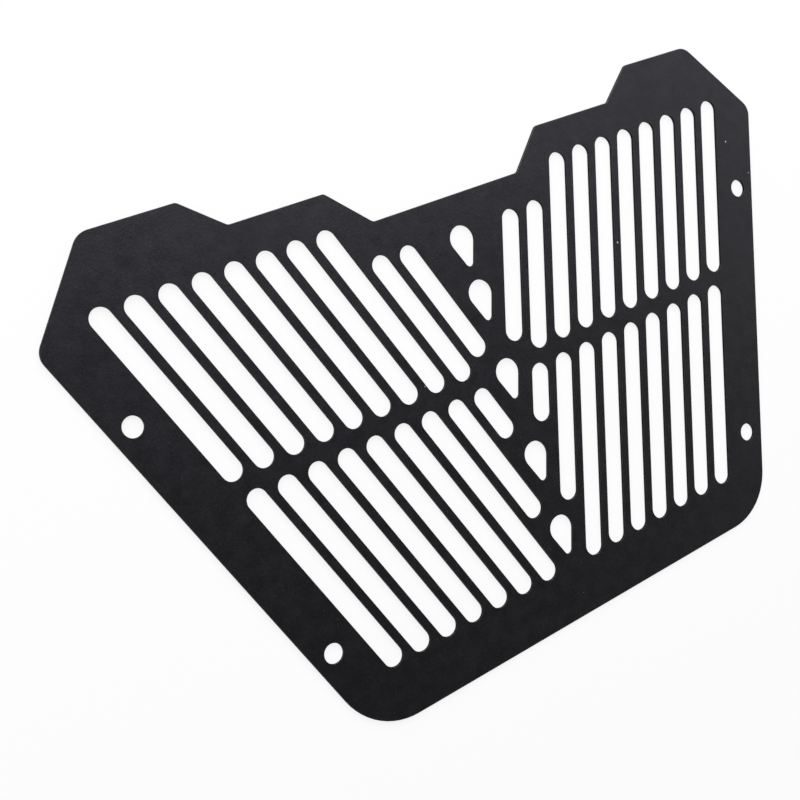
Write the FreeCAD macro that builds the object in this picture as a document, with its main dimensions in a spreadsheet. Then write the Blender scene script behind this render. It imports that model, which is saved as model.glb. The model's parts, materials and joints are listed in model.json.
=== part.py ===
import FreeCAD, Part
import math
import os
import Sketcher

# A motorcycle skid plate: one flat steel sheet, cut to its outline, slotted and drilled, then powder coated.
# It lies on its back with the front face up. X runs across the plate, Y from the foot edge to the ears and
# Z out of the front face. The origin is on the back face, under the middle of the outline.
# One half is built on the +X side and mirrored. The teardrops on the spine are cut afterwards.

# Driving sizes in millimetres. A width runs from side to side across the centreline, a drop runs down from
# the top edge of the ears, and the outline's corners are measured before they are rounded.
SIZES = {
    # Sheet and outline
    "thickness": 1.5,
    "plate_depth": 247,
    "plate_width": 400,
    "foot_width": 250,
    "shoulder_drop": 40.8,
    "ear_outer_width": 335.6,
    "ear_inner_width": 250.4,
    "shelf_outer_width": 214,
    "shelf_inner_width": 120,
    "shelf_drop": 15.1,
    "notch_width": 82.6,
    "notch_drop": 33.5,
    # Rounded corners and broken edges
    "step_radius": 3,
    "ear_radius": 9,
    "shoulder_radius": 8,
    "foot_radius": 32,
    "edge_break": 0.2,
    # Slots, which lean with the plate's side, in two rows with a crossbar between them
    "slot_width": 10,
    "slot_pitch": 15,
    "crossbar_drop": 119.8,
    "crossbar_width": 6.2,
    "spine_width": 12.4,
    "top_border": 15,
    "side_border": 24,
    "foot_border": 24.5,
    # Mounting holes beside the slots, for M8 bolts
    "mount_hole": 9.2,
    "mount_border": 10,
    "upper_mount_drop": 79.7,
    "lower_mount_rise": 43.5,
    # Teardrops down the spine, measured at their large round ends
    "teardrop_width": 13.2,
    "teardrop_tip_width": 5,
    "teardrop_taper": 10.8,
    "teardrop_top_border": 21,
    "teardrop_foot_border": 45,
    "teardrop_gap_1": 26.8,
    "teardrop_gap_2": 39.6,
    "teardrop_gap_3": 42.4,
    "teardrop_gap_4": 38.7,
}

# Levels and lines that follow from the sizes. The side edge moves out by side_slope for each millimetre
# of rise, and side_stretch turns a distance square to that edge into one along X.
LAYOUT = {
    "ear_edge": "=Sizes.plate_depth / 2",
    "foot_edge": "=-ear_edge",
    "shoulder": "=ear_edge - Sizes.shoulder_drop",
    "shelf_edge": "=ear_edge - Sizes.shelf_drop",
    "notch_edge": "=ear_edge - Sizes.notch_drop",
    "crossbar": "=ear_edge - Sizes.crossbar_drop",
    "side_slope": "=(Sizes.plate_width - Sizes.foot_width) / 2 / (shoulder - foot_edge)",
    "side_stretch": "=sqrt(1 + side_slope ^ 2)",
    "side_at_crossbar": "=Sizes.foot_width / 2 + side_slope * (crossbar - foot_edge)",
    "slot_radius": "=Sizes.slot_width / 2",
    "first_slot": "=side_at_crossbar - (Sizes.side_border + slot_radius) * side_stretch",
    "slot_to_spine": "=Sizes.spine_width / 2 + slot_radius",
    "slot_to_crossbar": "=Sizes.crossbar_width / 2 + slot_radius",
    "shelf_slot_end": "=shelf_edge - Sizes.top_border - slot_radius",
    "notch_slot_end": "=notch_edge - Sizes.top_border - slot_radius",
    "foot_slot_end": "=foot_edge + Sizes.foot_border + slot_radius",
    "first_teardrop": "=notch_edge - Sizes.teardrop_top_border",
    "last_teardrop": "=foot_edge + Sizes.teardrop_foot_border",
}

TEARDROP_GAPS = [f"Sizes.{alias}" for alias in SIZES if alias.startswith("teardrop_gap")]

# Corners of the half outline from the notch to the foot: X, Y and the corner's radius. Its two ends
# are on the centreline and have no radius.
OUTLINE = [
    ("0", "Layout.notch_edge", None),
    ("Sizes.notch_width / 2", "Layout.notch_edge", "Sizes.step_radius"),
    ("Sizes.shelf_inner_width / 2", "Layout.shelf_edge", "Sizes.step_radius"),
    ("Sizes.shelf_outer_width / 2", "Layout.shelf_edge", "Sizes.step_radius"),
    ("Sizes.ear_inner_width / 2", "Layout.ear_edge", "Sizes.step_radius"),
    ("Sizes.ear_outer_width / 2", "Layout.ear_edge", "Sizes.ear_radius"),
    ("Sizes.plate_width / 2", "Layout.shoulder", "Sizes.shoulder_radius"),
    ("Sizes.foot_width / 2", "Layout.foot_edge", "Sizes.foot_radius"),
    ("0", "Layout.foot_edge", None),
]

SAME_PLACE = 1e-4
UP = FreeCAD.Vector(0, 0, 1)
START, END, CENTRE = range(1, 4)
ORIGIN = (-1, 1)


def fill_sheet(name, cells):
    """Makes a spreadsheet with one named cell for each entry."""
    sheet = doc.addObject("Spreadsheet::Sheet", name)
    for row, (alias, content) in enumerate(cells.items(), start=1):
        sheet.set(f"A{row}", alias)
        sheet.set(f"B{row}", str(content))
        sheet.setAlias(f"B{row}", alias)
    doc.recompute()
    return sheet


def value(formula):
    """Works out a formula that reads the two sheets."""
    return float(layout.evalExpression(formula))


def origin_feature(role):
    return next(item for item in plate.Origin.OriginFeatures if item.Role == role)


def new_sketch(name):
    sketch = plate.newObject("Sketcher::SketchObject", name)
    sketch.AttachmentSupport = (origin_feature("XY_Plane"), [""])
    sketch.MapMode = "FlatFace"
    return sketch


def new_front_sketch(name):
    """Makes a sketch on the front face, where a cut enters the sheet."""
    sketch = new_sketch(name)
    sketch.setExpression("AttachmentOffset.Base.z", "Sizes.thickness")
    return sketch


def hold(sketch, kind, where, formula):
    """Adds a dimension to a sketch and binds it to a formula."""
    number = sketch.addConstraint(Sketcher.Constraint(kind, *where, value(formula)))
    sketch.setExpression(f"Constraints[{number}]", formula)


def hold_point(sketch, point, x, y):
    hold(sketch, "DistanceX", ORIGIN + point, x)
    hold(sketch, "DistanceY", ORIGIN + point, y)


def add_line(sketch, start, end):
    return sketch.addGeometry(Part.LineSegment(start, end))


def add_arc(sketch, centre, radius, start_angle, end_angle):
    circle = Part.Circle(centre, UP, radius)
    return sketch.addGeometry(Part.ArcOfCircle(circle, start_angle, end_angle))


def around(centre, radius, angle):
    return centre + FreeCAD.Vector(radius * math.cos(angle), radius * math.sin(angle), 0)


def draw_link(sketch, first, second):
    """Draws two round ends joined by straight sides: a slot, or a teardrop where the ends differ.

    Each end is the formulas of its centre's X and Y and of its radius.
    """
    centre_1 = FreeCAD.Vector(value(first[0]), value(first[1]), 0)
    centre_2 = FreeCAD.Vector(value(second[0]), value(second[1]), 0)
    radius_1 = value(first[2])
    radius_2 = value(second[2])
    run = centre_2 - centre_1
    heading = math.atan2(run.y, run.x)
    spread = math.acos((radius_1 - radius_2) / run.Length)
    left = heading + spread
    right = heading - spread
    arc_1 = add_arc(sketch, centre_1, radius_1, left, right + 2 * math.pi)
    arc_2 = add_arc(sketch, centre_2, radius_2, right, left)
    left_side = add_line(sketch, around(centre_1, radius_1, left), around(centre_2, radius_2, left))
    right_side = add_line(sketch, around(centre_2, radius_2, right), around(centre_1, radius_1, right))
    joins = [
        (arc_1, START, left_side, START),
        (left_side, END, arc_2, END),
        (arc_2, START, right_side, START),
        (right_side, END, arc_1, END),
    ]
    for join in joins:
        sketch.addConstraint(Sketcher.Constraint("Tangent", *join))
    for arc, end in ((arc_1, first), (arc_2, second)):
        hold_point(sketch, (arc, CENTRE), end[0], end[1])
        hold(sketch, "Radius", (arc,), end[2])


def draw_circle(sketch, x, y, diameter):
    circle = Part.Circle(FreeCAD.Vector(value(x), value(y), 0), UP, value(diameter) / 2)
    number = sketch.addGeometry(circle)
    hold_point(sketch, (number, CENTRE), x, y)
    hold(sketch, "Diameter", (number,), diameter)


def cut_through(name, sketch):
    """Cuts a sketch from the front face right through the sheet."""
    doc.recompute()
    volume_before = plate.Shape.Volume
    pocket = plate.newObject("PartDesign::Pocket", name)
    pocket.Profile = sketch
    pocket.Type = "ThroughAll"
    doc.recompute()
    if plate.Shape.Volume >= volume_before:
        raise RuntimeError(f"{name} cuts nothing")


def draw_outline():
    """Draws the half outline, closed along the centreline."""
    sketch = new_sketch("half_outline")
    points = [FreeCAD.Vector(value(x), value(y), 0) for x, y, radius in OUTLINE]
    lines = []
    for start, end in zip(points, points[1:] + points[:1]):
        lines.append(add_line(sketch, start, end))
    for line, next_line in zip(lines, lines[1:] + lines[:1]):
        sketch.addConstraint(Sketcher.Constraint("Coincident", line, END, next_line, START))
    for line, (x, y, radius) in zip(lines, OUTLINE):
        hold_point(sketch, (line, START), x, y)
    return sketch


def upright_edge(shape, x, y):
    """Names the edge of a shape that stands on the point x, y."""
    for number, edge in enumerate(shape.Edges, start=1):
        corners = edge.Vertexes
        if all(math.hypot(corner.X - x, corner.Y - y) < SAME_PLACE for corner in corners):
            return f"Edge{number}"
    raise RuntimeError(f"no upright edge at {x}, {y}")


def build_half_sheet():
    pad = plate.newObject("PartDesign::Pad", "half_sheet")
    pad.Profile = draw_outline()
    pad.setExpression("Length", "Sizes.thickness")
    doc.recompute()


def round_corners():
    """Rounds the corners of the half outline, one fillet for each radius."""
    for radius in dict.fromkeys(corner[2] for corner in OUTLINE if corner[2]):
        corners = [(value(x), value(y)) for x, y, corner_radius in OUTLINE if corner_radius == radius]
        base = plate.Tip
        fillet = plate.newObject("PartDesign::Fillet", radius.replace("Sizes.", "round_"))
        fillet.Base = (base, [upright_edge(base.Shape, x, y) for x, y in corners])
        fillet.setExpression("Radius", radius)
        doc.recompute()


def slot_axis(number):
    """Gives the X at which a slot's middle line crosses the crossbar, counted from the plate's side."""
    return f"Layout.first_slot - {number} * Sizes.slot_pitch"


def slot_end(number, level):
    """Gives the round end of a slot at a level."""
    x = f"{slot_axis(number)} + Layout.side_slope * ({level} - Layout.crossbar)"
    return (x, level, "Layout.slot_radius")


def spine_level(number):
    """Gives the level at which a slot that runs down towards the centreline reaches the spine."""
    return f"Layout.crossbar + (Layout.slot_to_spine - ({slot_axis(number)})) / Layout.side_slope"


def row_of_slots(tops, bottom):
    """Lists a row's slots from the side inwards, as long as they are longer than they are wide.

    A slot takes the lower top where the higher one would reach in over the notch, and stops at the
    bottom level or where it meets the spine.
    """
    slots = []
    while True:
        number = len(slots)
        low_level = f"max({bottom}; {spine_level(number)})"
        high_level = tops[0]
        if value(slot_end(number, high_level)[0]) < value("Sizes.shelf_inner_width / 2"):
            high_level = tops[-1]
        if value(high_level) - value(low_level) < value("Sizes.slot_width"):
            return slots
        slots.append((slot_end(number, high_level), slot_end(number, low_level)))


def cut_slots():
    upper_tops = ["Layout.shelf_slot_end", "Layout.notch_slot_end"]
    upper_row = row_of_slots(upper_tops, "Layout.crossbar + Layout.slot_to_crossbar")
    lower_row = row_of_slots(["Layout.crossbar - Layout.slot_to_crossbar"], "Layout.foot_slot_end")
    for name, row in (("upper_slots", upper_row), ("lower_slots", lower_row)):
        sketch = new_front_sketch(f"{name}_outline")
        for top, bottom in row:
            draw_link(sketch, top, bottom)
        cut_through(name, sketch)
        print(name, len(row), "on each side")


def drill_mounts():
    """Drills the two bolt holes of the half, at a distance square to the side edge."""
    sketch = new_front_sketch("mount_centres")
    for level in ("Layout.ear_edge - Sizes.upper_mount_drop", "Layout.foot_edge + Sizes.lower_mount_rise"):
        side = f"Layout.side_at_crossbar + Layout.side_slope * ({level} - Layout.crossbar)"
        draw_circle(sketch, f"{side} - Sizes.mount_border * Layout.side_stretch", level, "Sizes.mount_hole")
    doc.recompute()
    hole = plate.newObject("PartDesign::Hole", "mounting_holes")
    hole.Profile = sketch
    hole.DepthType = "ThroughAll"
    hole.DrillPoint = "Flat"
    hole.setExpression("Diameter", "Sizes.mount_hole")
    doc.recompute()


def mirror_half():
    mirror = plate.newObject("PartDesign::Mirrored", "whole_sheet")
    mirror.TransformMode = "Whole shape"
    mirror.MirrorPlane = (origin_feature("YZ_Plane"), [""])
    plate.Tip = mirror
    doc.recompute()


def cut_teardrops():
    """Cuts the teardrops down the spine, round end up, with their gaps in proportion over its length."""
    sketch = new_front_sketch("teardrop_outlines")
    all_gaps = " + ".join(TEARDROP_GAPS)
    for number in range(len(TEARDROP_GAPS) + 1):
        gaps_above = " + ".join(TEARDROP_GAPS[:number]) or "0"
        spine_share = f"({gaps_above}) / ({all_gaps})"
        level = f"Layout.first_teardrop - (Layout.first_teardrop - Layout.last_teardrop) * {spine_share}"
        round_end = ("0", level, "Sizes.teardrop_width / 2")
        tip = ("0", f"{level} - Sizes.teardrop_taper", "Sizes.teardrop_tip_width / 2")
        draw_link(sketch, round_end, tip)
    cut_through("teardrops", sketch)


def break_outline_edges():
    """Takes the sharpness off the outline's edges, on the front and on the back."""
    base = plate.Tip
    flat_faces = [face for face in base.Shape.Faces if abs(face.normalAt(0, 0).z) > 1 - SAME_PLACE]
    outline = [edge for face in flat_faces for edge in face.OuterWire.Edges]
    names = []
    for number, edge in enumerate(base.Shape.Edges, start=1):
        if any(edge.isSame(outline_edge) for outline_edge in outline):
            names.append(f"Edge{number}")
    chamfer = plate.newObject("PartDesign::Chamfer", "broken_edges")
    chamfer.Base = (base, names)
    chamfer.setExpression("Size", "Sizes.edge_break")
    doc.recompute()


def check_document():
    for item in doc.Objects:
        if "Invalid" in item.State or "Error" in item.State:
            raise RuntimeError(f"{item.Name} failed: {item.State}")
    if plate.Shape.isNull() or not plate.Shape.isValid():
        raise RuntimeError("the plate's shape is not valid")
    if len(plate.Shape.Solids) != 1:
        raise RuntimeError("the plate is not one solid")


doc = FreeCAD.newDocument("skid_plate")
fill_sheet("Sizes", SIZES)
layout = fill_sheet("Layout", LAYOUT)
plate = doc.addObject("PartDesign::Body", "skid_plate")
plate.Label = "skid_plate"
build_half_sheet()
round_corners()
cut_slots()
drill_mounts()
mirror_half()
cut_teardrops()
break_outline_edges()
check_document()

box = plate.Shape.BoundBox
print(f"{plate.Label}: {box.XLength:.2f} x {box.YLength:.2f} x {box.ZLength:.2f} mm")
print(f"volume {plate.Shape.Volume:.1f} mm3, {len(plate.Shape.Faces)} faces")
os.makedirs("parts", exist_ok=True)
plate.Shape.exportStep(f"parts/{plate.Label}.step")
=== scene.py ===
# %% [markdown]
# A slotted skid plate in dark powder coat.
#
# The plate is one flat sheet of steel. A laser cuts its outline, its slots and its bolt holes, and then
# it is coated with a dark powder that melts into a fine-grained, satin skin. It could be drawn again here,
# but the CAD model already holds the exact cuts. So Blender's start-up objects are cleared away, and the
# CAD model is loaded and stays the frame for everything else.

# %% Load the plate
import json
import math

import bmesh
import bpy
from mathutils import Matrix, Vector

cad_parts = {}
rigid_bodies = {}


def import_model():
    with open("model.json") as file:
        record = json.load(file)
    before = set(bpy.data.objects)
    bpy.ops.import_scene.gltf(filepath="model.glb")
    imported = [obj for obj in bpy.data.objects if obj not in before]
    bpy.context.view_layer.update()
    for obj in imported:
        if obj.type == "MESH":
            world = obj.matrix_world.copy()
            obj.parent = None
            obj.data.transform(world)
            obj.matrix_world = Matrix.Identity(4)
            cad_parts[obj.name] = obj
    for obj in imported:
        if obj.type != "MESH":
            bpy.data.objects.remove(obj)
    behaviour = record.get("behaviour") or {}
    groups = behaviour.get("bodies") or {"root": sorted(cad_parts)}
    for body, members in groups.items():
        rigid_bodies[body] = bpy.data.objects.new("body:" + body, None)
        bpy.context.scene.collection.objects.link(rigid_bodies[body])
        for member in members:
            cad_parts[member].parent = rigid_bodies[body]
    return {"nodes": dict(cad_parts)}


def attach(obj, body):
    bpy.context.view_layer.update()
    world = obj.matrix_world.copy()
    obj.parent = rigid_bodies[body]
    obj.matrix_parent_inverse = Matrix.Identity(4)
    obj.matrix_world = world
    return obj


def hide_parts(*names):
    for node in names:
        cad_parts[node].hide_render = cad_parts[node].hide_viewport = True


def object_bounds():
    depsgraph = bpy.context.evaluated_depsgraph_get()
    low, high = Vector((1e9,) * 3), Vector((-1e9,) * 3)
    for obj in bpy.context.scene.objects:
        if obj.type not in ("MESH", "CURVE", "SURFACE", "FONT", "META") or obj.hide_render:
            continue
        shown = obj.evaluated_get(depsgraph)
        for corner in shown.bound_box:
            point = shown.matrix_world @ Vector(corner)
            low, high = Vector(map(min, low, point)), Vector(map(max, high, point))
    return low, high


for leftover in list(bpy.data.objects):
    bpy.data.objects.remove(leftover)

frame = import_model()
cad_low, cad_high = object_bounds()
cut_sheet = frame["nodes"]["skid_plate"]
print("cut sheet, metres:", [round(side, 4) for side in cad_high - cad_low])

# %% [markdown]
# The coated sheet.
#
# A laser leaves square edges, but melted powder pulls itself round over them, so every slot and hole has
# a soft rim that catches a thin line of light. The rim could be faked with a bevel shader, but then the
# mesh itself would stay sharp. Here a copy of the sheet is merged into one skin, its flat faces are joined
# again, and the bevel operator rounds every square edge. The outline already has a small chamfer, and a
# finer bevel softens that.

# %% Round the edges of the sheet
COAT_ROUNDING = 0.00016
CHAMFER_ROUNDING = 0.00006
MERGE_DISTANCE = 0.000001
FLAT_LIMIT = math.radians(0.5)
SQUARE_EDGE = math.radians(60)
CHAMFER_EDGE = math.radians(40)


def round_edges(skin, sharper_than, rounding, segments):
    """Rounds every edge of the skin whose two faces turn by more than the given angle."""
    edges = [edge for edge in skin.edges if edge.calc_face_angle() > sharper_than]
    bmesh.ops.bevel(
        skin,
        geom=edges,
        offset=rounding,
        offset_type="OFFSET",
        affect="EDGES",
        segments=segments,
        profile=0.5,
        material=-1,
        loop_slide=False,
        clamp_overlap=True,
    )
    return len(edges)


skin = bmesh.new()
skin.from_mesh(cut_sheet.data)
bmesh.ops.remove_doubles(skin, verts=skin.verts, dist=MERGE_DISTANCE)
bmesh.ops.dissolve_limit(skin, angle_limit=FLAT_LIMIT, verts=skin.verts, edges=skin.edges)
square_edges = round_edges(skin, SQUARE_EDGE, COAT_ROUNDING, segments=3)
chamfer_edges = round_edges(skin, CHAMFER_EDGE, CHAMFER_ROUNDING, segments=2)
print("rounded", square_edges, "square edges and", chamfer_edges, "chamfer edges")

# %% [markdown]
# Three finishes on one skin.
#
# The coat lies thick and grainy on the open faces, draws thin and smooth over the rounded rims, and is dull
# in the cuts, where little powder reaches the walls. The rims are also painted lighter, as a painted
# highlight, and the walls a little darker, as painted shade. Each face of the skin gets the finish of its
# place, told by how far it looks up or down. Weighted normals then keep the big faces flat and shade the
# rims round.

# %% Make the plate's object
OPEN_FACE, ROUNDED_RIM, CUT_WALL = range(3)
OPEN_FACE_LEVEL = 0.999
CUT_WALL_LEVEL = 0.05
BIG_FACES_WIN = 100


def finish_of(face):
    """The finish that a face of the skin has, by how far it looks up or down."""
    level = abs(face.normal.z)
    if level > OPEN_FACE_LEVEL:
        return OPEN_FACE
    if level < CUT_WALL_LEVEL:
        return CUT_WALL
    return ROUNDED_RIM


for face in skin.faces:
    face.smooth = True
    face.material_index = finish_of(face)

plate_mesh = bpy.data.meshes.new("coated_plate")
skin.to_mesh(plate_mesh)
skin.free()
coated_plate = bpy.data.objects.new("coated_plate", plate_mesh)
bpy.context.scene.collection.objects.link(coated_plate)
weighted = coated_plate.modifiers.new("flat faces stay flat", "WEIGHTED_NORMAL")
weighted.mode = "FACE_AREA"
weighted.weight = BIG_FACES_WIN
print("coated plate faces:", len(plate_mesh.polygons))

# %% [markdown]
# A small kit for patterns.
#
# The coat's grain and the dust on it are patterns, and a pattern is a chain of nodes. Adding and linking
# each node where it is needed would hide the chain in long code. So each kind of node has a helper here
# that adds it to a node tree, links what goes in, and gives back the socket that comes out.

# %% Write the node helpers
def noise(tree, place, per_metre, detail, roughness):
    """Adds a noise of a given number of features per metre, and returns its value."""
    node = tree.nodes.new("ShaderNodeTexNoise")
    node.inputs["Scale"].default_value = per_metre
    node.inputs["Detail"].default_value = detail
    node.inputs["Roughness"].default_value = roughness
    tree.links.new(place, node.inputs["Vector"])
    return node.outputs["Fac"]


def spread(tree, value, low, high, to_low=0.0, to_high=1.0):
    """Stretches a value from one range to another, and returns the result."""
    node = tree.nodes.new("ShaderNodeMapRange")
    node.inputs["From Min"].default_value = low
    node.inputs["From Max"].default_value = high
    node.inputs["To Min"].default_value = to_low
    node.inputs["To Max"].default_value = to_high
    tree.links.new(value, node.inputs["Value"])
    return node.outputs["Result"]


def combine(tree, operation, first, second):
    """Joins two values, or a value and a number, with a Math node."""
    node = tree.nodes.new("ShaderNodeMath")
    node.operation = operation
    tree.links.new(first, node.inputs[0])
    if isinstance(second, float):
        node.inputs[1].default_value = second
    else:
        tree.links.new(second, node.inputs[1])
    return node.outputs["Value"]


print("node helpers:", [helper.__name__ for helper in (noise, spread, combine)])

# %% [markdown]
# The grain of the coat.
#
# Fine-textured powder melts into tiny beads under a millimetre wide, on top of slow waves like the skin of
# an orange, and the coat is never quite even in tone. All three are noise of different sizes on the
# plate's own coordinates, so they stay in place on the object. They are built once, as a node group, and
# all three finishes use them.

# %% Build the powder grain group
BEADS_PER_METRE = 800.0
WAVES_PER_METRE = 210.0
CLOUDS_PER_METRE = 140.0
WAVES_SHARE = 0.8
NOISE_LOW = 0.3
NOISE_HIGH = 0.7


def new_group(name, outputs):
    """Starts a shader node group with the given value outputs."""
    group = bpy.data.node_groups.new(name, "ShaderNodeTree")
    for output in outputs:
        group.interface.new_socket(output, in_out="OUTPUT", socket_type="NodeSocketFloat")
    place = group.nodes.new("ShaderNodeTexCoord")
    result = group.nodes.new("NodeGroupOutput")
    return group, place.outputs["Object"], result


grain, grain_place, grain_result = new_group("powder grain", ["Height", "Beads", "Clouds"])
beads = noise(grain, grain_place, BEADS_PER_METRE, detail=3.0, roughness=0.65)
waves = noise(grain, grain_place, WAVES_PER_METRE, detail=1.0, roughness=0.5)
clouds = noise(grain, grain_place, CLOUDS_PER_METRE, detail=3.0, roughness=0.55)
height = combine(grain, "ADD", beads, combine(grain, "MULTIPLY", waves, WAVES_SHARE))
grain.links.new(height, grain_result.inputs["Height"])
grain.links.new(spread(grain, beads, NOISE_LOW, NOISE_HIGH), grain_result.inputs["Beads"])
grain.links.new(spread(grain, clouds, NOISE_LOW, NOISE_HIGH), grain_result.inputs["Clouds"])
print("powder grain nodes:", len(grain.nodes))

# %% [markdown]
# Specks of dust.
#
# A dark coat shows every speck. A few pale ones lie on this plate, two of them bright, and the rest of the
# surface has a thin scatter of very small, faint ones. The few are given one by one: each is a small round
# mask about its own point, listed as x, y and radius. Placing the scatter in the same way would take a long
# list, so it comes from a cell pattern, where about one cell in five is picked.

# %% Build the dust group
PLACED_SPECKS = [
    (0.1766, 0.0695, 0.00055),
    (0.0862, 0.0406, 0.00062),
    (0.1859, 0.0496, 0.00038),
    (-0.0445, 0.0119, 0.00034),
    (-0.0002, -0.1128, 0.00018),
    (-0.1238, -0.0694, 0.00010),
]
SOLID_CORE = 0.4
SCATTER_PER_METRE = 220.0
SCATTER_RADIUS = 0.08
SCATTER_SKIPS = 0.82
SCATTER_STRENGTH = 0.035
front_height = cad_high.z


def soft_spot(tree, distance, radius):
    """A mask that is full over the core of a speck and fades out to its radius."""
    return spread(tree, distance, radius * SOLID_CORE, radius, 1.0, 0.0)


def placed_speck(tree, place, x, y, radius):
    """A soft round spot about one point of the front face."""
    away = tree.nodes.new("ShaderNodeVectorMath")
    away.operation = "DISTANCE"
    away.inputs[1].default_value = (x, y, front_height)
    tree.links.new(place, away.inputs[0])
    return soft_spot(tree, away.outputs["Value"], radius)


dust, dust_place, dust_result = new_group("dust specks", ["Mask"])
cells = dust.nodes.new("ShaderNodeTexVoronoi")
cells.voronoi_dimensions = "2D"
cells.inputs["Scale"].default_value = SCATTER_PER_METRE
dust.links.new(dust_place, cells.inputs["Vector"])
cell_spot = soft_spot(dust, cells.outputs["Distance"], SCATTER_RADIUS)
cell_draw = dust.nodes.new("ShaderNodeSeparateColor")
dust.links.new(cells.outputs["Color"], cell_draw.inputs["Color"])
picked = combine(dust, "GREATER_THAN", cell_draw.outputs["Red"], SCATTER_SKIPS)
scatter = combine(dust, "MULTIPLY", cell_spot, picked)
dust_total = combine(dust, "MULTIPLY", scatter, SCATTER_STRENGTH)
for speck_x, speck_y, speck_radius in PLACED_SPECKS:
    speck = placed_speck(dust, dust_place, speck_x, speck_y, speck_radius)
    dust_total = combine(dust, "MAXIMUM", dust_total, speck)
dust.links.new(dust_total, dust_result.inputs["Mask"])
print("dust specks placed:", len(PLACED_SPECKS))

# %% [markdown]
# The powder coat.
#
# The coat is a very dark, slightly blue charcoal with a satin gloss. Its colour and its roughness move a
# little with the beads and the clouds, and the beads and waves bend the surface through a bump. A plain
# dark material would look like plastic sheet. One function makes the coat, so that each finish differs
# only in the values that it is given.

# %% Write the coat's function
DUST_COLOUR = (0.50, 0.50, 0.51, 1.0)
COOL_SHEEN = (0.86, 0.84, 1.0, 1.0)
CLOUDS_IN_TONE = 0.5
BEADS_IN_TONE = 0.5
GRAIN_HEIGHT = 0.0001
# A Mix node has several sockets named A, B and Result, so the ones for colours are picked by number.
FIRST_COLOUR, SECOND_COLOUR, MIXED_COLOUR = 6, 7, 2


def mix_colour(tree, share, first, second):
    """Mixes two colours, or a colour and a socket, by a varying share."""
    node = tree.nodes.new("ShaderNodeMix")
    node.data_type = "RGBA"
    tree.links.new(share, node.inputs["Factor"])
    for number, colour in ((FIRST_COLOUR, first), (SECOND_COLOUR, second)):
        if isinstance(colour, tuple):
            node.inputs[number].default_value = colour
        else:
            tree.links.new(colour, node.inputs[number])
    return node.outputs[MIXED_COLOUR]


def powder_coat(name, dark, light, gloss, specular, bump):
    """A powder coat whose tone, gloss and surface follow the powder grain group."""
    material = bpy.data.materials.new(name)
    material.use_nodes = True
    tree = material.node_tree
    shader = tree.nodes["Principled BSDF"]
    coat_grain = tree.nodes.new("ShaderNodeGroup")
    coat_grain.node_tree = grain
    coat_dust = tree.nodes.new("ShaderNodeGroup")
    coat_dust.node_tree = dust

    cloudy = combine(tree, "MULTIPLY", coat_grain.outputs["Clouds"], CLOUDS_IN_TONE)
    beaded = combine(tree, "MULTIPLY", coat_grain.outputs["Beads"], BEADS_IN_TONE)
    uneven = combine(tree, "ADD", cloudy, beaded)
    tone = mix_colour(tree, uneven, dark, light)
    dusted = mix_colour(tree, coat_dust.outputs["Mask"], tone, DUST_COLOUR)
    tree.links.new(dusted, shader.inputs["Base Color"])

    rough_low, rough_high = gloss
    rough = spread(tree, uneven, 0.0, 1.0, rough_low, rough_high)
    tree.links.new(rough, shader.inputs["Roughness"])
    shader.inputs["Specular IOR Level"].default_value = specular
    shader.inputs["Specular Tint"].default_value = COOL_SHEEN

    surface = tree.nodes.new("ShaderNodeBump")
    surface.inputs["Strength"].default_value = bump
    surface.inputs["Distance"].default_value = GRAIN_HEIGHT
    tree.links.new(coat_grain.outputs["Height"], surface.inputs["Height"])
    tree.links.new(surface.outputs["Normal"], shader.inputs["Normal"])
    return material


print("grain height, metres:", GRAIN_HEIGHT)

# %% [markdown]
# The finishes on the plate.
#
# The open faces have the full grain. On the rims the melted powder has drawn smooth, so they are a little
# glossier and have less bump, and their colour is about twice as light as on the open faces: a painted
# highlight. The walls of the cuts have hardly any sheen, so they stay dark beside the pale floor that they
# look at, and their colour is a little darker than on the open faces: painted shade. Three separate objects
# could carry the finishes, but one mesh with three material slots stays closed.

# %% Make the three finishes
open_face_coat = powder_coat(
    "satin_powder_coat",
    dark=(0.0022, 0.0022, 0.0024, 1.0),
    light=(0.0053, 0.0052, 0.0058, 1.0),
    gloss=(0.39, 0.51),
    specular=0.61,
    bump=0.5,
)
# The rims' colour is about twice as light as the open faces: a painted highlight, beside their real
# smoother gloss.
painted_highlight_rim_finish = powder_coat(
    "rims_smooth_coat_painted_highlight",
    dark=(0.0045, 0.0045, 0.0050, 1.0),
    light=(0.0090, 0.0089, 0.0098, 1.0),
    gloss=(0.34, 0.42),
    specular=0.61,
    bump=0.4,
)
# The walls' colour is a little darker than the open faces: painted shade in the cuts, beside their real
# dull sheen.
painted_shade_wall_finish = powder_coat(
    "cuts_dull_coat_painted_shade",
    dark=(0.0020, 0.0020, 0.0022, 1.0),
    light=(0.0045, 0.0045, 0.0050, 1.0),
    gloss=(0.50, 0.60),
    specular=0.10,
    bump=0.4,
)
coated_plate.data.materials.append(open_face_coat)
coated_plate.data.materials.append(painted_highlight_rim_finish)
coated_plate.data.materials.append(painted_shade_wall_finish)
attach(coated_plate, "root")
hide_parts("skid_plate")
print("finishes:", [material.name for material in coated_plate.data.materials])

# %% [markdown]
# The floor.
#
# The plate lies flat on a plain white table. A curved backdrop could be built behind it, but a single
# square is enough where it is far wider than the plate. It stays a hair below the plate, because two faces
# at the same height would show through each other.

# %% Lay the floor
FLOOR_HALF = 4.0
FLOOR_GAP = 0.00005

floor_skin = bmesh.new()
bmesh.ops.create_grid(floor_skin, x_segments=1, y_segments=1, size=FLOOR_HALF)
bmesh.ops.translate(floor_skin, verts=floor_skin.verts, vec=(0.0, 0.0, cad_low.z - FLOOR_GAP))
floor_mesh = bpy.data.meshes.new("table_top")
floor_skin.to_mesh(floor_mesh)
floor_skin.free()
table_top = bpy.data.objects.new("table_top", floor_mesh)
bpy.context.scene.collection.objects.link(table_top)
print("table top, metres:", 2 * FLOOR_HALF)

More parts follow.
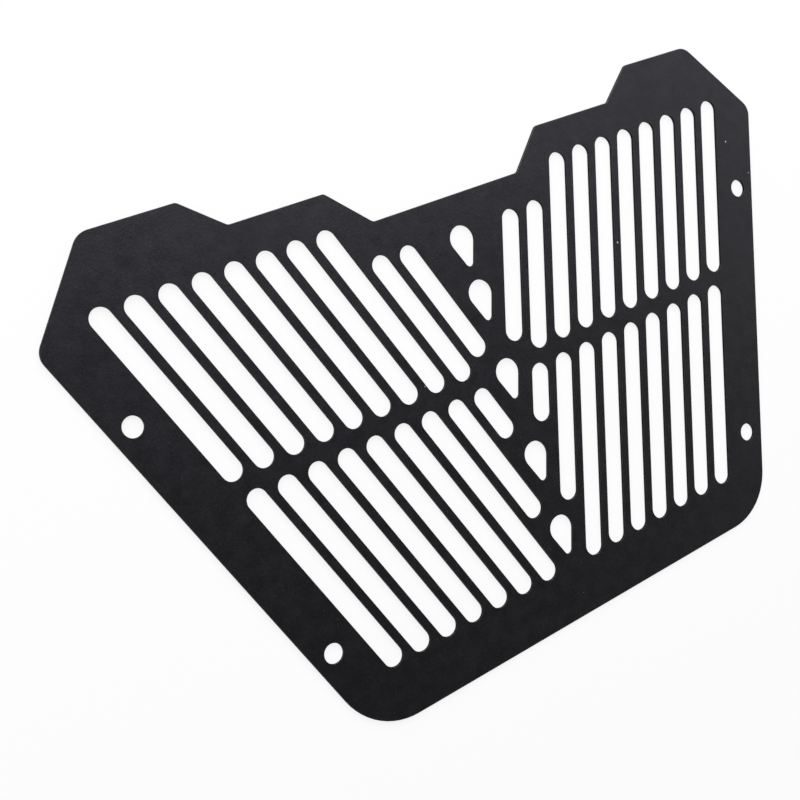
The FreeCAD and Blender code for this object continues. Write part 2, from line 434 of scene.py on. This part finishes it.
# %% [markdown]
# The floor's paint.
#
# Paint alone would leave the table a little grey, so a part of what the camera sees there is its own
# white, and the rest is lit paint that keeps the plate's shadow. Further out, where no shadow falls and
# less light reaches, the table is all its own white, so that it meets the pale room without a line. The
# plate's reflections see the same white. Stronger lamps would whiten the table too, but they would also
# bleach the plate.

# %% Paint the floor
FLOOR_PAINT = (0.92, 0.92, 0.92, 1.0)
OWN_WHITE = 0.85
SHADOW_REACH = 0.5
ALL_WHITE_FROM = 2.0

paint = bpy.data.materials.new("white_table_paint")
paint.use_nodes = True
paint_tree = paint.node_tree
paint_tree.nodes.remove(paint_tree.nodes["Principled BSDF"])
lit_paint = paint_tree.nodes.new("ShaderNodeBsdfDiffuse")
lit_paint.inputs["Color"].default_value = FLOOR_PAINT
own_white = paint_tree.nodes.new("ShaderNodeEmission")
own_white.inputs["Strength"].default_value = 1.0
ray = paint_tree.nodes.new("ShaderNodeLightPath")
seen = combine(paint_tree, "MAXIMUM", ray.outputs["Is Camera Ray"], ray.outputs["Is Glossy Ray"])
seen = combine(paint_tree, "MAXIMUM", seen, ray.outputs["Is Transmission Ray"])
table_place = paint_tree.nodes.new("ShaderNodeTexCoord")
from_plate = paint_tree.nodes.new("ShaderNodeVectorMath")
from_plate.operation = "LENGTH"
paint_tree.links.new(table_place.outputs["Object"], from_plate.inputs[0])
share = spread(paint_tree, from_plate.outputs["Value"], SHADOW_REACH, ALL_WHITE_FROM, OWN_WHITE, 1.0)
blend = paint_tree.nodes.new("ShaderNodeMixShader")
paint_tree.links.new(combine(paint_tree, "MULTIPLY", seen, share), blend.inputs["Fac"])
paint_tree.links.new(lit_paint.outputs["BSDF"], blend.inputs[1])
paint_tree.links.new(own_white.outputs["Emission"], blend.inputs[2])
paint_tree.links.new(blend.outputs["Shader"], paint_tree.nodes["Material Output"].inputs["Surface"])
table_top.data.materials.append(paint)
print("own white near the plate:", OWN_WHITE)

# %% [markdown]
# The lamps.
#
# A dark satin sheet shows the room more than its own colour: its top edge mirrors a soft lamp and is
# lighter, and its foot mirrors a dark ceiling. So one large soft lamp stands beyond the top right of the
# plate for that sheen, and a weak one low on the right carries it down that side. A third, on the camera's
# side, lights the table without a glare, and a low one beyond the top edge draws the thin light lines on
# the rims. Small hard lamps would show as spots in the coat.

# %% Set the lamps
PLATE_MIDDLE = Vector((0.0, 0.0, front_height))


def soft_lamp(name, towards, distance, size, watts):
    """A square area lamp in a given direction from the plate, turned to face it."""
    lamp = bpy.data.lights.new(name, "AREA")
    lamp.shape = "SQUARE"
    lamp.size = size
    lamp.energy = watts
    holder = bpy.data.objects.new(name, lamp)
    direction = Vector(towards).normalized()
    turn = direction.to_track_quat("Z", "Y").to_matrix().to_4x4()
    holder.matrix_world = Matrix.Translation(PLATE_MIDDLE + direction * distance) @ turn
    holder.visible_camera = False
    bpy.context.scene.collection.objects.link(holder)
    return holder


sheen_lamp = soft_lamp("sheen_lamp", towards=(0.42, 0.70, 0.58), distance=1.8, size=1.4, watts=37.0)
side_lamp = soft_lamp("side_lamp", towards=(0.92, -0.05, 0.38), distance=1.5, size=0.7, watts=1.25)
table_lamp = soft_lamp("table_lamp", towards=(-0.70, 0.30, 0.55), distance=1.6, size=1.2, watts=9.0)
edge_lamp = soft_lamp("edge_lamp", towards=(-0.35, 0.85, 0.35), distance=1.5, size=0.5, watts=5.0)
lamps = [sheen_lamp, side_lamp, table_lamp, edge_lamp]
print("lamps, watts:", [(lamp.name, lamp.data.energy) for lamp in lamps])

# %% [markdown]
# The room.
#
# A studio has a pale backdrop all round and a dark ceiling. A built room would have to be large to stay
# out of the picture, so the world's background stands for it: a ramp from white at the horizon to nearly
# black overhead, by how steeply a ray rises. A new ramp has only its two ends, so the tones between them
# are added.

# %% Paint the room
HORIZON_TONE = 1.0
OVERHEAD_TONE = 0.025
TONES_BETWEEN = [(0.3, 0.5), (0.6, 0.085)]


def grey(tone):
    """A grey colour of the given tone."""
    return (tone, tone, tone, 1.0)


room = bpy.data.worlds.new("studio_room")
room.use_nodes = True
room_tree = room.node_tree
room_place = room_tree.nodes.new("ShaderNodeTexCoord")
room_axes = room_tree.nodes.new("ShaderNodeSeparateXYZ")
room_ramp = room_tree.nodes.new("ShaderNodeValToRGB")
room_tones = room_ramp.color_ramp.elements
room_tones[0].color = grey(HORIZON_TONE)
room_tones[1].color = grey(OVERHEAD_TONE)
for rise, tone in TONES_BETWEEN:
    room_tones.new(rise).color = grey(tone)
room_tree.links.new(room_place.outputs["Generated"], room_axes.inputs["Vector"])
room_tree.links.new(room_axes.outputs["Z"], room_ramp.inputs["Fac"])
room_tree.links.new(room_ramp.outputs["Color"], room_tree.nodes["Background"].inputs["Color"])
bpy.context.scene.world = room
print("room tones:", [(round(stop.position, 2), round(stop.color[0], 3)) for stop in room_tones])

# %% [markdown]
# The camera.
#
# The plate is seen from above its left side, turned so that its top edge runs up to the right. Such a view
# could be set by eye, but the many slots show every small error. So the place, the aim, the roll and the
# lens come from fitting a plain pinhole camera to the plate's slots and holes. The middle of the picture is
# on the camera's axis, so the lens needs no shift.

# %% Place the camera
CAMERA_PLACE = Vector((-0.27415, 0.076185, 0.443837))
CAMERA_AIM = Vector((-0.058860, 0.010807, 0.0015))
CAMERA_ROLL = math.radians(85.430467)
CAMERA_LENS = 49.4311
SENSOR_WIDTH = 36.0

lens = bpy.data.cameras.new("camera")
lens.lens = CAMERA_LENS
lens.sensor_width = SENSOR_WIDTH
camera = bpy.data.objects.new("camera", lens)
look = (CAMERA_AIM - CAMERA_PLACE).to_track_quat("-Z", "Y").to_matrix().to_4x4()
camera.matrix_world = Matrix.Translation(CAMERA_PLACE) @ look @ Matrix.Rotation(CAMERA_ROLL, 4, "Z")
bpy.context.scene.collection.objects.link(camera)
bpy.context.scene.camera = camera
bpy.context.scene.view_settings.view_transform = "Standard"
print("camera distance, metres:", round((CAMERA_AIM - CAMERA_PLACE).length, 4))
